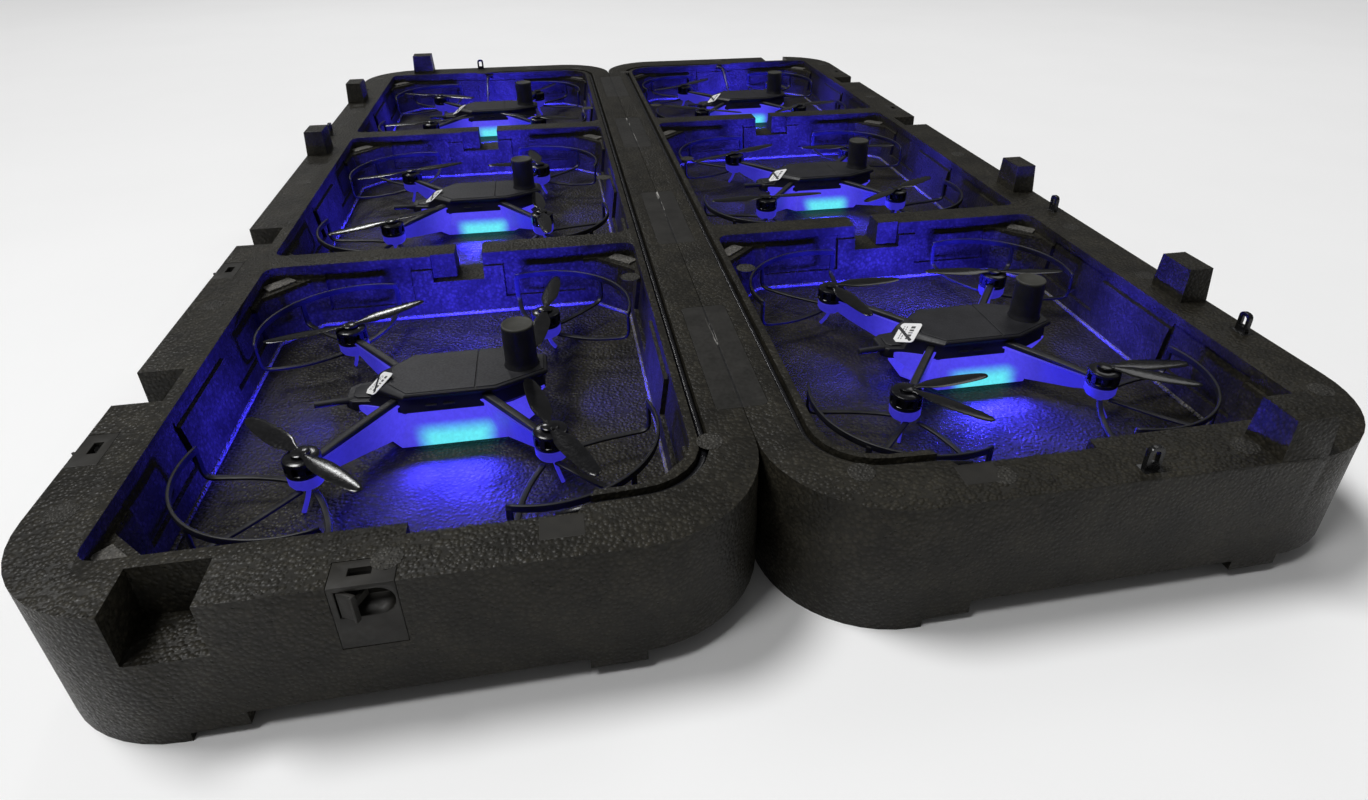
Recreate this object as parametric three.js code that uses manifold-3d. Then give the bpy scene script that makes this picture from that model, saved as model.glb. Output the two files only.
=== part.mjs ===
// A folding carrying case in moulded bead foam, lying open, with its load of six small show drones.
// Two trays of one moulding are joined along the hinge line by four folding plates. Each tray has three
// bays. When the right tray folds over onto the left one, pegs enter notches and loops enter latches.
// Units are millimetres. X runs across the trays with the hinge line at 0, Y along the case, Z up.
import * as THREE from 'three';
import { mergeVertices } from 'three/addons/utils/BufferGeometryUtils.js';
import Module from 'manifold-3d';

const wasm = await Module();
wasm.setup();

// ---- Driving dimensions ----------------------------------------------------------------------------
const TRAY_WIDTH = 460; // one tray, from the hinge line to its outer wall
const CASE_LENGTH = 1426;
const BAYS_PER_TRAY = 3;
const RIM_HEIGHT = 106; // top of the rim above the ground
const UNDERSIDE = 18; // main underside; only the feet reach the ground
const BAY_FLOOR = 42;
const CORNER_RADIUS = 92;
const CORNER_FACETS = 12;
const FOLD_GAP = 0.3; // half the gap between the two trays, open or closed
const TOUCH_GAP = 0.3; // gap between pieces that rest against each other

const RIM_OUTER = 46; // rim width along the outer wall and along the hinge
const RIM_END = 48; // rim width at the two ends
const RIM_END_THIN = 38; // the end rim between a bay's middle and its cover plate
const RIM_END_CABLE = 58; // the end rim where it carries the cable groove
const PARTITION = 30;
const WALL_LEAN = 10; // how far a bay wall leans in from rim to floor
const POST_LEG = 38; // corner posts cut the bay corners off at 45 degrees
const POST_TOP = 92;
const POCKET_CORNER = 12;
const CABLE_CORNER = 39;

const CABLE_RADIUS = 2.75;
const GROOVE_WIDTH = 7.4;
const GROOVE_DEPTH = 9;
const CABLE_X = -36; // the cable's line along the hinge
const CABLE_END = 50; // its distance from the end wall
const CABLE_BEND = 49;
const CABLE_HEIGHT = RIM_HEIGHT - GROOVE_DEPTH + CABLE_RADIUS + TOUCH_GAP;
const CABLE_START_X = -140; // under the cover plate
const CABLE_DROP_X = -235;
const CABLE_DROP_BEND = 20;

const PEG = { along: 42, across: 27, height: 32, taper: 2 };
const NOTCH = { along: 47, across: 35, depth: 38, step: 14 };
const SIDE_PEGS = [244, 551]; // distance from the tray's near end
const END_PEG_X = 358.5; // distance from the hinge line
const END_PEG_ALONG = 37;

const LATCH = { width: 37, deep: 20.7, low: 58 };
const LATCH_HOLE = { left: -15, round: 7, radius: 10, height: 92.5, deep: 17 };
const LATCH_SLOT = { left: -8.5, right: 4.5, near: 8.5, far: 14.5 };
const FLAP = { hinge: -13, inset: 1.4, tip: -2, front: 0.2, back: 2.4, low: 83, high: 102 };
const FLAP_AJAR = THREE.MathUtils.degToRad(28);
const SIDE_LATCHES = [164, 463]; // distance from the near end
const END_LATCH_X = 248;
const HOOK = { inset: 11.5, offset: -2, width: 11.5, height: 18, thick: 4, bar: 3 };
const HOOK_BASE = { width: 15, lip: 3, sink: 6 };

const LEAF = { across: 20, along: 166, thick: 1.2, corner: 5, recess: 1.5 };
const LEAF_CENTRES = [-498, -181, 181, 498];

const GUARD_RECESS = { deep: 4, low: 58, high: 97, halfAcross: 42, halfAlong: 46, reach: 6 };
const PARTITION_NOTCH = { half: 26, low: 79, blindTo: -2, blindEnd: -11, reach: 40 };
const PAD = { across: 97, along: 150 }; // the deep foot under a tray's corner
const RUNNER = { halfAcross: 150, halfAlong: 20 }; // the feet under the partitions

const DRONE = { motorX: 88, motorY: 97 };
const BODY = { low: 46, shellLow: 68, flare: 15, noseTop: 78, top: 90, halfWidth: 33 };
const MAST = { x: 67, radius: 13.5, top: 128 };
const ARM = { thick: 8, rootLow: 50, rootHigh: 82, endLow: 64, endHigh: 80, rootX: 34, rootY: 24 };
const MOTOR = { radius: 13.5, low: 70, high: 88.3, stemRadius: 9, stemLow: 60, legRadius: 4 };
const GUARD = { radius: 85, thick: 3, low: 84, high: 90, spokeLow: 62, spokeHigh: 66, spokeWidth: 5 };
const GUARD_REACH = THREE.MathUtils.degToRad(64); // each way from the middle of the part ring
const GUARD_CENTRE = { x: DRONE.motorX - 3, y: DRONE.motorY + 5 };
const BLADE = { from: 3, widest: 28, length: 72, root: 10, middle: 16, tip: 8, thick: 1.4 };
const HUB = { radius: 6, thick: 2.6 };
const MOTORS = [[-1, -1], [1, -1], [-1, 1], [1, 1]];
// Where each propeller's two folding blades point, drone by drone, for the motors in the order of MOTORS.
const BLADE_ANGLES = [
  [[-46, 133], [-64, 103], [33, 195], [80, -98]],
  [[35, 205], [95, -85], [20, 200], [100, 175]],
  [[15, 190], [-20, 150], [160, -30], [60, -120]],
  [[5, -50], [-6, -34], [0, -78], [-10, 170]],
  [[0, 182], [215, 30], [25, 205], [175, -5]],
  [[-30, 150], [10, -140], [40, -150], [75, -80]],
];

const FRONT = -CASE_LENGTH / 2;
const BACK = CASE_LENGTH / 2;
const BAY_PITCH = CASE_LENGTH / BAYS_PER_TRAY;
const TRAY_MIDDLE = -TRAY_WIDTH / 2;
const BAY_LEFT = -TRAY_WIDTH + RIM_OUTER;
const BAY_RIGHT = -RIM_OUTER;
const ABOVE = RIM_HEIGHT + 10; // where cutters end, clear of the rim

// ---- Colours ---------------------------------------------------------------------------------------
function plastic(color, roughness, metalness = 0) {
  return new THREE.MeshStandardMaterial({ color, roughness, metalness });
}
const foam = () => plastic(0x2b2925, 0.92);
const plate = () => plastic(0x3a3936, 0.55);
const cableBlack = () => plastic(0x0c0c0d, 0.4);
const shellGrey = () => plastic(0x2f2f33, 0.7);
const gloss = () => plastic(0x0b0b0d, 0.22);

// ---- Solids ----------------------------------------------------------------------------------------
function solid(geometry) {
  const bare = geometry.index ? geometry.toNonIndexed() : geometry.clone();
  bare.deleteAttribute('normal');
  bare.deleteAttribute('uv');
  const merged = mergeVertices(bare, 1e-4);
  return new wasm.Manifold(new wasm.Mesh({
    numProp: 3,
    vertProperties: new Float32Array(merged.attributes.position.array),
    triVerts: new Uint32Array(merged.index.array),
  }));
}

function geometryOf(manifold) {
  const mesh = manifold.getMesh();
  const geometry = new THREE.BufferGeometry();
  geometry.setAttribute('position', new THREE.BufferAttribute(new Float32Array(mesh.vertProperties), 3));
  geometry.setIndex(new THREE.BufferAttribute(new Uint32Array(mesh.triVerts), 1));
  return geometry;
}

function union(solids) {
  return solids.reduce((whole, next) => whole.add(next));
}

function cut(whole, cutters) {
  return cutters.reduce((left, next) => left.subtract(next), whole);
}

function block(x0, x1, y0, y1, z0, z1) {
  const geometry = new THREE.BoxGeometry(x1 - x0, y1 - y0, z1 - z0);
  geometry.translate((x0 + x1) / 2, (y0 + y1) / 2, (z0 + z1) / 2);
  return solid(geometry);
}

function prismGeometry(shape, low, high, curveSegments) {
  const depth = high - low;
  return new THREE.ExtrudeGeometry(shape, { depth, bevelEnabled: false, curveSegments }).translate(0, 0, low);
}

function prism(shape, low, high, curveSegments = 6) {
  return solid(prismGeometry(shape, low, high, curveSegments));
}

function rod(x, y, radius, low, high, sides) {
  const geometry = new THREE.CylinderGeometry(radius, radius, high - low, sides);
  geometry.rotateX(Math.PI / 2);
  return solid(geometry.translate(x, y, (low + high) / 2));
}

function polygon(points) {
  const shape = new THREE.Shape();
  points.forEach(([x, y], i) => (i ? shape.lineTo(x, y) : shape.moveTo(x, y)));
  shape.closePath();
  return shape;
}

// A closed outline through [x, y, radius] corners, each rounded off by its radius.
function roundedOutline(corners) {
  const shape = new THREE.Shape();
  const bend = 0.5523; // a cubic's handle length for a quarter circle
  corners.forEach(([x, y, radius], i) => {
    const here = new THREE.Vector2(x, y);
    const [before, after] = [corners.at(i - 1), corners[(i + 1) % corners.length]].map(
      ([px, py]) => new THREE.Vector2(px, py).sub(here).normalize());
    const enter = here.clone().addScaledVector(before, radius);
    const leave = here.clone().addScaledVector(after, radius);
    if (i) shape.lineTo(enter.x, enter.y);
    else shape.moveTo(enter.x, enter.y);
    if (radius > 0) {
      const a = enter.clone().lerp(here, bend);
      const b = leave.clone().lerp(here, bend);
      shape.bezierCurveTo(a.x, a.y, b.x, b.y, leave.x, leave.y);
    }
  });
  shape.closePath();
  return shape;
}

// A prism whose lower face is drawn in towards its middle by lean, or spread if lean is negative.
function leaning(shape, low, high, lean, curveSegments = 1) {
  const geometry = prismGeometry(shape, low, high, curveSegments);
  geometry.computeBoundingBox();
  const middle = geometry.boundingBox.getCenter(new THREE.Vector3());
  const half = geometry.boundingBox.getSize(new THREE.Vector3()).multiplyScalar(0.5);
  const position = geometry.attributes.position;
  for (let i = 0; i < position.count; i += 1) {
    if (position.getZ(i) < (low + high) / 2) {
      position.setX(i, middle.x + (position.getX(i) - middle.x) * (1 - lean / half.x));
      position.setY(i, middle.y + (position.getY(i) - middle.y) * (1 - lean / half.y));
    }
  }
  return solid(geometry);
}

function arc(cx, cy, radius, from, to, steps, z) {
  return Array.from({ length: steps + 1 }, (_, i) => {
    const angle = THREE.MathUtils.degToRad(from + (to - from) * (i / steps));
    return new THREE.Vector3(cx + radius * Math.cos(angle), cy + radius * Math.sin(angle), z);
  });
}

// A path that passes straight from one listed point to the next.
class Route extends THREE.Curve {
  constructor(points) {
    super();
    this.points = points;
  }

  getPointAt(t, target = new THREE.Vector3()) {
    const place = t * (this.points.length - 1);
    const i = Math.min(Math.floor(place), this.points.length - 2);
    return target.lerpVectors(this.points[i], this.points[i + 1], place - i);
  }

  getTangentAt(t, target = new THREE.Vector3()) {
    const last = this.points.length - 1;
    const i = Math.round(t * last);
    const ahead = this.points[Math.min(i + 1, last)].clone().sub(this.points[i]).normalize();
    const behind = this.points[i].clone().sub(this.points[Math.max(i - 1, 0)]).normalize();
    return target.copy(ahead.add(behind)).normalize();
  }
}

// ---- Trays -----------------------------------------------------------------------------------------
// A tray is drawn as the left one. The right one is the same tray turned half round, but its bays and
// cable groove mirror the left tray's, so flip is -1 there and 1 here.

function outline() {
  const left = -TRAY_WIDTH;
  const right = -FOLD_GAP;
  return roundedOutline([
    [left, FRONT, CORNER_RADIUS], [right, FRONT, CORNER_RADIUS],
    [right, BACK, CORNER_RADIUS], [left, BACK, CORNER_RADIUS]]);
}

// The same solids again after half a turn about the tray's own middle.
function withTurnedCopy(solids) {
  const turned = solids.map((s) => s.rotate([0, 0, 180]).translate([-TRAY_WIDTH - FOLD_GAP, 0, 0]));
  return [...solids, ...turned];
}

function feet() {
  const left = -TRAY_WIDTH;
  const top = UNDERSIDE + 2;
  const deepPad = block(left, left + PAD.across, FRONT, FRONT + PAD.along, 0, top);
  const midFoot = block(left + PAD.across, left + 131, FRONT, FRONT + 60, 7, top);
  const lastFoot = block(left + 333, left + 370, FRONT, FRONT + 60, 9.5, top);
  const underneath = prism(outline(), 0, top, CORNER_FACETS);
  const edgeFeet = union(withTurnedCopy([deepPad, midFoot, lastFoot])).intersect(underneath);
  const runners = [-1, 1].map((side) => {
    const y = side * BAY_PITCH / 2;
    const { halfAcross, halfAlong } = RUNNER;
    return block(TRAY_MIDDLE - halfAcross, TRAY_MIDDLE + halfAcross, y - halfAlong, y + halfAlong, 0, top);
  });
  return [edgeFeet, ...runners];
}

// Edges of bay 0, 1 or 2 as [near end, far end] before any flip.
function bayEnds(index) {
  const near = FRONT + index * BAY_PITCH + (index === 0 ? RIM_END : PARTITION / 2);
  const far = FRONT + (index + 1) * BAY_PITCH - (index === BAYS_PER_TRAY - 1 ? RIM_END : PARTITION / 2);
  return [near, far];
}

function bayMiddle(index) {
  const [near, far] = bayEnds(index);
  return (near + far) / 2;
}

// The bay's outline with the same corner treatment all round, except the cable corners.
function bayOutline(index, corner, cableCorner) {
  const [near, far] = bayEnds(index);
  const first = index === 0;
  const last = index === BAYS_PER_TRAY - 1;
  const cableNear = FRONT + RIM_END_CABLE;
  const cableFar = BACK - RIM_END_CABLE;
  const thinNear = FRONT + RIM_END_THIN;
  const corners = [[BAY_LEFT, near, corner]];
  if (first) corners.push([-228, near, 0], [-228, thinNear, 0], [-126, thinNear, 0], [-114, cableNear, 0]);
  corners.push([BAY_RIGHT, first ? cableNear : near, first ? cableCorner : corner]);
  corners.push([BAY_RIGHT, last ? cableFar : far, last ? cableCorner : corner]);
  if (last) corners.push([-256, cableFar, 0], [-256, far, 0]);
  corners.push([BAY_LEFT, far, corner]);
  return roundedOutline(corners);
}

function bay(index) {
  const low = bayOutline(index, POST_LEG, POST_LEG);
  const high = bayOutline(index, POCKET_CORNER, CABLE_CORNER);
  return [
    leaning(low, BAY_FLOOR, ABOVE, WALL_LEAN),
    prism(high, POST_TOP, ABOVE, 3),
    ...guardRecesses(index),
  ];
}

// How far a leaning bay wall stands in from its line at the rim.
function wallOffset(height) {
  return WALL_LEAN * (ABOVE - height) / (ABOVE - BAY_FLOOR);
}

// Shallow hollows of even depth in the bay walls, where a propeller guard comes nearest.
function guardRecesses(index) {
  const [near, far] = bayEnds(index);
  const { deep, low, high, halfAcross, halfAlong, reach } = GUARD_RECESS;
  const nearWall = index === 0 ? FRONT + RIM_END_CABLE : near;
  const farWall = index === BAYS_PER_TRAY - 1 ? BACK - RIM_END_CABLE : far;
  const corners = [
    [-wallOffset(low) - reach, low], [-wallOffset(low) + deep, low],
    [-wallOffset(high) + deep, high], [-wallOffset(high) - reach, high]];
  const recess = (half, angle, x, y) => uprightWeb(corners, 2 * half, angle).translate([x, y, 0]);
  return [-1, 1].flatMap((side) => {
    const x = TRAY_MIDDLE + side * DRONE.motorX;
    const y = bayMiddle(index) + side * DRONE.motorY;
    return [
      recess(halfAcross, -Math.PI / 2, x, nearWall), recess(halfAcross, Math.PI / 2, x, farWall),
      recess(halfAlong, Math.PI, BAY_LEFT, y), recess(halfAlong, 0, BAY_RIGHT, y)];
  });
}

// Each partition is notched: right through on one side of its middle, and only a pocket on the other.
function partitionNotches() {
  const { half, low, blindTo, blindEnd, reach } = PARTITION_NOTCH;
  return [-1, 1].flatMap((side) => {
    const y = side * BAY_PITCH / 2;
    return [
      block(TRAY_MIDDLE + blindTo, TRAY_MIDDLE + half, y - reach, y + reach, low, ABOVE),
      block(TRAY_MIDDLE - half, TRAY_MIDDLE + half, y - reach, y + blindEnd, low, ABOVE)];
  });
}

function grooveRoute() {
  const z = CABLE_HEIGHT;
  const inner = CABLE_X - CABLE_BEND;
  const turn = CABLE_DROP_BEND;
  return [
    new THREE.Vector3(CABLE_START_X, FRONT + CABLE_END - 6, z),
    new THREE.Vector3(CABLE_START_X + 22, FRONT + CABLE_END - 1.5, z),
    ...arc(inner, FRONT + CABLE_END + CABLE_BEND, CABLE_BEND, -90, 0, 6, z),
    ...arc(inner, BACK - CABLE_END - CABLE_BEND, CABLE_BEND, 0, 90, 6, z),
    ...arc(CABLE_DROP_X + turn, BACK - CABLE_END - turn, turn, 90, 180, 3, z),
  ];
}

// After the groove the cable hangs into the far bay and ends in the drone's side.
function cableRoute() {
  const x = CABLE_DROP_X;
  const droneSide = bayMiddle(BAYS_PER_TRAY - 1) + BODY.halfWidth + TOUCH_GAP;
  return [
    ...grooveRoute(),
    new THREE.Vector3(x, BACK - 80, 99),
    new THREE.Vector3(x, BACK - 94, 93),
    new THREE.Vector3(x, BACK - 110, 83),
    new THREE.Vector3(x, BACK - 128, 73),
    new THREE.Vector3(x, BACK - 148, 66),
    new THREE.Vector3(x, BACK - 170, 63),
    new THREE.Vector3(x, BACK - 190, 66),
    new THREE.Vector3(x, droneSide + 14, 73),
    new THREE.Vector3(x, droneSide + 5, 76),
    new THREE.Vector3(x, droneSide + 0.1, 76),
  ];
}

// The groove as a flat ribbon that follows the route in plan.
function groove() {
  const points = grooveRoute();
  const route = new Route(points);
  const edge = (side) => points.map((p, i) => {
    const t = route.getTangentAt(i / (points.length - 1));
    return [p.x - t.y * side * GROOVE_WIDTH / 2, p.y + t.x * side * GROOVE_WIDTH / 2];
  });
  return prism(polygon([...edge(-1), ...edge(1).reverse()]), RIM_HEIGHT - GROOVE_DEPTH, ABOVE);
}

// A peg stands on the rim with its outer face flush with the wall, and narrows upwards.
function peg(x0, x1, y0, y1) {
  const upright = polygon([[x0, y0], [x1, y0], [x1, y1], [x0, y1]]);
  const geometry = prismGeometry(upright, RIM_HEIGHT - 4, RIM_HEIGHT + PEG.height, 1);
  const position = geometry.attributes.position;
  const [cx, cy] = [(x0 + x1) / 2, (y0 + y1) / 2];
  for (let i = 0; i < position.count; i += 1) {
    if (position.getZ(i) > RIM_HEIGHT) {
      position.setX(i, position.getX(i) - Math.sign(position.getX(i) - cx) * PEG.taper);
      position.setY(i, position.getY(i) - Math.sign(position.getY(i) - cy) * PEG.taper);
    }
  }
  return solid(geometry);
}

function pegs() {
  const side = SIDE_PEGS.map((d) => peg(
    -TRAY_WIDTH, -TRAY_WIDTH + PEG.across, BACK - d - PEG.along / 2, BACK - d + PEG.along / 2));
  const end = peg(-END_PEG_X - END_PEG_ALONG / 2, -END_PEG_X + END_PEG_ALONG / 2, BACK - 34, BACK);
  return [...side, end];
}

// A notch is open to the outside, and its floor steps down towards the wall.
function notches() {
  const out = 5;
  const side = SIDE_PEGS.flatMap((d) => {
    const [y0, y1] = [FRONT + d - NOTCH.along / 2, FRONT + d + NOTCH.along / 2];
    const inner = -TRAY_WIDTH + NOTCH.across;
    return [
      block(-TRAY_WIDTH - out, inner - 4, y0, y1, RIM_HEIGHT - NOTCH.depth, ABOVE),
      block(-TRAY_WIDTH - out, inner, y0, y1, RIM_HEIGHT - NOTCH.step, ABOVE)];
  });
  const [x0, x1] = [-END_PEG_X - NOTCH.along / 2, -END_PEG_X + NOTCH.along / 2];
  const end = [
    block(x0, x1, FRONT - out, FRONT + 38, RIM_HEIGHT - NOTCH.depth, ABOVE)];
  return [...side, ...end];
}

// ---- Latches and hooks -----------------------------------------------------------------------------
// A latch is drawn at a wall that faces -Y, with its middle at x = 0 and the wall's face at y = 0.
// These are the places on the left tray, each as [x, y, turn about Z].
function latchSites() {
  const side = SIDE_LATCHES.map((d) => [-TRAY_WIDTH, FRONT + d, -90]);
  return [[-END_LATCH_X, FRONT, 0], ...side];
}

// A hook meets the slot of a latch on the other tray when the case is shut.
function hookSites() {
  const across = HOOK.offset;
  const side = SIDE_LATCHES.map((d) => [-TRAY_WIDTH + HOOK.inset, BACK - d + across, 90]);
  return [[-END_LATCH_X + across, BACK - HOOK.inset, 0], ...side];
}

function placed(manifold, [x, y, turn]) {
  return manifold.rotate([0, 0, turn]).translate([x, y, 0]);
}

function latchPocket() {
  const half = LATCH.width / 2 + TOUCH_GAP;
  return block(-half, half, -5, LATCH.deep + TOUCH_GAP, LATCH.low - TOUCH_GAP, ABOVE);
}

function latchHousing() {
  const half = LATCH.width / 2;
  const { left, round, radius, height, deep } = LATCH_HOLE;
  const body = block(-half, half, 0, LATCH.deep, LATCH.low, RIM_HEIGHT);
  const mouth = new THREE.CylinderGeometry(radius, radius, deep + 5, 16);
  const slot = block(LATCH_SLOT.left, LATCH_SLOT.right, LATCH_SLOT.near, LATCH_SLOT.far, height, ABOVE);
  return cut(body, [
    solid(mouth.translate(round, (deep - 5) / 2, height)),
    block(left, round, -5, deep, height - radius, height + radius),
    slot]);
}

// The flap turns on its barrel at the left of the mouth, and its nub reaches through the loop when shut.
function latchFlap() {
  const barrel = rod(FLAP.hinge, FLAP.inset, FLAP.inset, FLAP.low, FLAP.high, 12);
  const leaf = block(FLAP.hinge, FLAP.tip, FLAP.front, FLAP.back, FLAP.low, FLAP.high);
  const nub = block(FLAP.tip - 2.6, FLAP.tip - 0.1, FLAP.back - 0.5, FLAP.back + 10, 93, 98);
  const grip = block(FLAP.tip - 1.6, FLAP.tip, FLAP.front - 1.4, FLAP.front + 0.5, FLAP.low, FLAP.high);
  return union([barrel, leaf, nub, grip])
    .translate([-FLAP.hinge, -FLAP.inset, 0])
    .rotate([0, 0, -THREE.MathUtils.radToDeg(FLAP_AJAR)])
    .translate([FLAP.hinge, FLAP.inset, 0]);
}

function hookPocket() {
  const half = HOOK_BASE.width / 2 + TOUCH_GAP;
  const across = HOOK.thick / 2 + HOOK_BASE.lip + TOUCH_GAP;
  return block(-half, half, -across, across, RIM_HEIGHT - HOOK_BASE.sink - TOUCH_GAP, ABOVE);
}

function hook() {
  const half = HOOK_BASE.width / 2;
  const across = HOOK.thick / 2 + HOOK_BASE.lip;
  const base = block(-half, half, -across, across, RIM_HEIGHT - HOOK_BASE.sink, RIM_HEIGHT);
  const reach = HOOK.width / 2;
  const top = HOOK.height - TOUCH_GAP;
  const ring = roundedOutline([[-reach, -2, 0], [reach, -2, 0], [reach, top, 4], [-reach, top, 4]]);
  const inner = reach - HOOK.bar;
  const innerTop = top - HOOK.bar;
  const window = roundedOutline([[-inner, 5, 0], [inner, 5, 0], [inner, innerTop, 2], [-inner, innerTop, 2]]);
  ring.holes.push(window);
  const loop = prismGeometry(ring, -HOOK.thick / 2, HOOK.thick / 2, 3);
  loop.rotateX(Math.PI / 2).translate(0, 0, RIM_HEIGHT);
  return base.add(solid(loop));
}

// ---- Hinge plates ----------------------------------------------------------------------------------
// One leaf's outline, grown by extra all round, with its straight side on the line x = fold.
function leafOutline(extra, fold) {
  const along = LEAF.along / 2 + extra;
  const across = LEAF.across + extra;
  const { corner } = LEAF;
  return roundedOutline([
    [-across, -along, corner], [fold, -along, 0], [fold, along, 0], [-across, along, corner]]);
}

function leafPocket(y) {
  const shape = leafOutline(TOUCH_GAP, 5);
  return prism(shape, RIM_HEIGHT - LEAF.recess, ABOVE, 2).translate([0, y, 0]);
}

function trayGeometry(flip) {
  const shell = prism(outline(), UNDERSIDE, RIM_HEIGHT, CORNER_FACETS);
  const bays = [0, 1, 2].flatMap(bay);
  const inside = [...bays, ...partitionNotches(), groove()]
    .map((cutter) => (flip < 0 ? cutter.mirror([0, 1, 0]) : cutter));
  const leaves = LEAF_CENTRES.map(leafPocket);
  const latches = latchSites().map((site) => placed(latchPocket(), site));
  const hooks = hookSites().map((site) => placed(hookPocket(), site));
  const moulding = union([shell, ...feet(), ...pegs()]);
  return geometryOf(cut(moulding, [...inside, ...notches(), ...leaves, ...latches, ...hooks]));
}

// ---- Drones ----------------------------------------------------------------------------------------
// A drone is drawn about its own middle with its nose towards -X and its legs on the bay floor.

function fuselage() {
  const wide = BODY.halfWidth;
  const nose = polygon([[-76, -12], [-36, -28], [-36, 28], [-76, 12]]);
  const upper = polygon([
    [-40, -24], [-26, -wide], [46, -wide], [88, -13],
    [88, 13], [46, wide], [-26, wide], [-40, 24]]);
  const lower = polygon([
    [-42, -10], [-24, -29], [42, -29], [60, -10],
    [60, 10], [42, 29], [-24, 29], [-42, 10]]);
  return union([
    prism(upper, BODY.shellLow, BODY.top),
    prism(nose, BODY.shellLow, BODY.noseTop),
    leaning(lower, BODY.low, BODY.shellLow + 1, -BODY.flare),
    rod(MAST.x, 0, MAST.radius, BODY.shellLow + 2, MAST.top, 12)]);
}

// A flat outline of [distance, height] corners, stood upright and turned to face along an angle.
function uprightWeb(corners, thick, angle) {
  const geometry = prismGeometry(polygon(corners), -thick / 2, thick / 2, 1);
  return solid(geometry.rotateX(Math.PI / 2).rotateZ(angle));
}

function arm(sideX, sideY) {
  const root = new THREE.Vector2(sideX * ARM.rootX, sideY * ARM.rootY);
  const end = new THREE.Vector2(sideX * DRONE.motorX, sideY * DRONE.motorY);
  const length = root.distanceTo(end);
  const corners = [[-6, ARM.rootLow], [length, ARM.endLow], [length, ARM.endHigh], [-6, ARM.rootHigh]];
  return uprightWeb(corners, ARM.thick, end.clone().sub(root).angle()).translate([root.x, root.y, 0]);
}

// A part ring round the motor's outer side, held off the motor's foot by three spokes with turned-up ends.
function guard(sideX, sideY) {
  const middle = Math.atan2(sideY, sideX);
  const inner = GUARD.radius - GUARD.thick;
  const ring = new THREE.Shape();
  ring.absarc(0, 0, GUARD.radius, middle - GUARD_REACH, middle + GUARD_REACH, false);
  ring.absarc(0, 0, inner, middle + GUARD_REACH, middle - GUARD_REACH, true);
  const spoke = [
    [5, GUARD.spokeLow], [GUARD.radius - 0.5, GUARD.spokeLow], [GUARD.radius - 0.5, GUARD.low + 2],
    [inner + 0.5, GUARD.low + 2], [inner + 0.5, GUARD.spokeHigh], [5, GUARD.spokeHigh]];
  const turns = [-1, 0, 1].map((k) => middle + k * (GUARD_REACH - 0.05));
  const spokes = turns.map((turn) => uprightWeb(spoke, GUARD.spokeWidth, turn));
  return union([prism(ring, GUARD.low, GUARD.high, 5), ...spokes]);
}

function motor() {
  return union([
    rod(0, 0, MOTOR.radius, MOTOR.low, MOTOR.high, 8),
    rod(0, 0, MOTOR.stemRadius, MOTOR.stemLow, MOTOR.low + 1, 6),
    rod(0, 0, MOTOR.legRadius, BAY_FLOOR + TOUCH_GAP, MOTOR.stemLow + 1, 6)]);
}

function airframeGeometry() {
  const corners = MOTORS.flatMap(([sx, sy]) => {
    const place = [sx * DRONE.motorX, sy * DRONE.motorY, 0];
    const guardPlace = [sx * GUARD_CENTRE.x, sy * GUARD_CENTRE.y, 0];
    return [arm(sx, sy), motor().translate(place), guard(sx, sy).translate(guardPlace)];
  });
  return geometryOf(union([fuselage(), ...corners]));
}

function propellerGeometry(angles) {
  const low = MOTOR.high + TOUCH_GAP;
  const bladeLow = low + (HUB.thick - BLADE.thick) / 2;
  const { from, length, widest } = BLADE;
  const [root, middle, tip] = [BLADE.root / 2, BLADE.middle / 2, BLADE.tip / 2];
  const blade = polygon([
    [from, -root], [widest, -middle], [length, -tip], [length, tip], [widest, middle], [from, root]]);
  const blades = angles.map((angle) => prism(blade, bladeLow, bladeLow + BLADE.thick).rotate([0, 0, angle]));
  return geometryOf(union([rod(0, 0, HUB.radius, low, low + HUB.thick, 6), ...blades]));
}

// ---- Assembly --------------------------------------------------------------------------------------
const carryingCase = new THREE.Group();

function addMesh(parent, name, geometry, material) {
  const mesh = new THREE.Mesh(geometry, material);
  mesh.name = name;
  parent.add(mesh);
  return mesh;
}

function addLatches(tray, side, endName) {
  const names = [endName, 'side_1', 'side_2'];
  latchSites().forEach(([x, y, turn], i) => {
    for (const [kind, shape] of [['latch_housing', latchHousing()], ['latch_flap', latchFlap()]]) {
      const mesh = addMesh(tray, `${kind}_${side}_${names[i]}`, geometryOf(shape), plate());
      mesh.position.set(x, y, 0);
      mesh.rotation.z = THREE.MathUtils.degToRad(turn);
    }
  });
}

function addHooks(tray, side, endName) {
  const names = [endName, 'side_1', 'side_2'];
  hookSites().forEach(([x, y, turn], i) => {
    const mesh = addMesh(tray, `latch_hook_${side}_${names[i]}`, geometryOf(hook()), gloss());
    mesh.position.set(x, y, 0);
    mesh.rotation.z = THREE.MathUtils.degToRad(turn);
  });
}

function addLeaves(tray, side) {
  LEAF_CENTRES.forEach((y, i) => {
    const geometry = prismGeometry(leafOutline(0, -FOLD_GAP), RIM_HEIGHT - LEAF.thick, RIM_HEIGHT, 2);
    addMesh(tray, `hinge_leaf_${side}_${i + 1}`, geometry, plate()).position.y = y;
  });
}

function addDrone(number, x, y) {
  const drone = new THREE.Group();
  drone.position.set(x, y, 0);
  addMesh(drone, `drone_${number}_airframe`, airframeGeometry(), shellGrey());
  MOTORS.forEach(([sx, sy], i) => {
    const name = `drone_${number}_propeller_${i + 1}`;
    const mesh = addMesh(drone, name, propellerGeometry(BLADE_ANGLES[number - 1][i]), gloss());
    mesh.position.set(sx * DRONE.motorX, sy * DRONE.motorY, 0);
  });
  carryingCase.add(drone);
}

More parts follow.
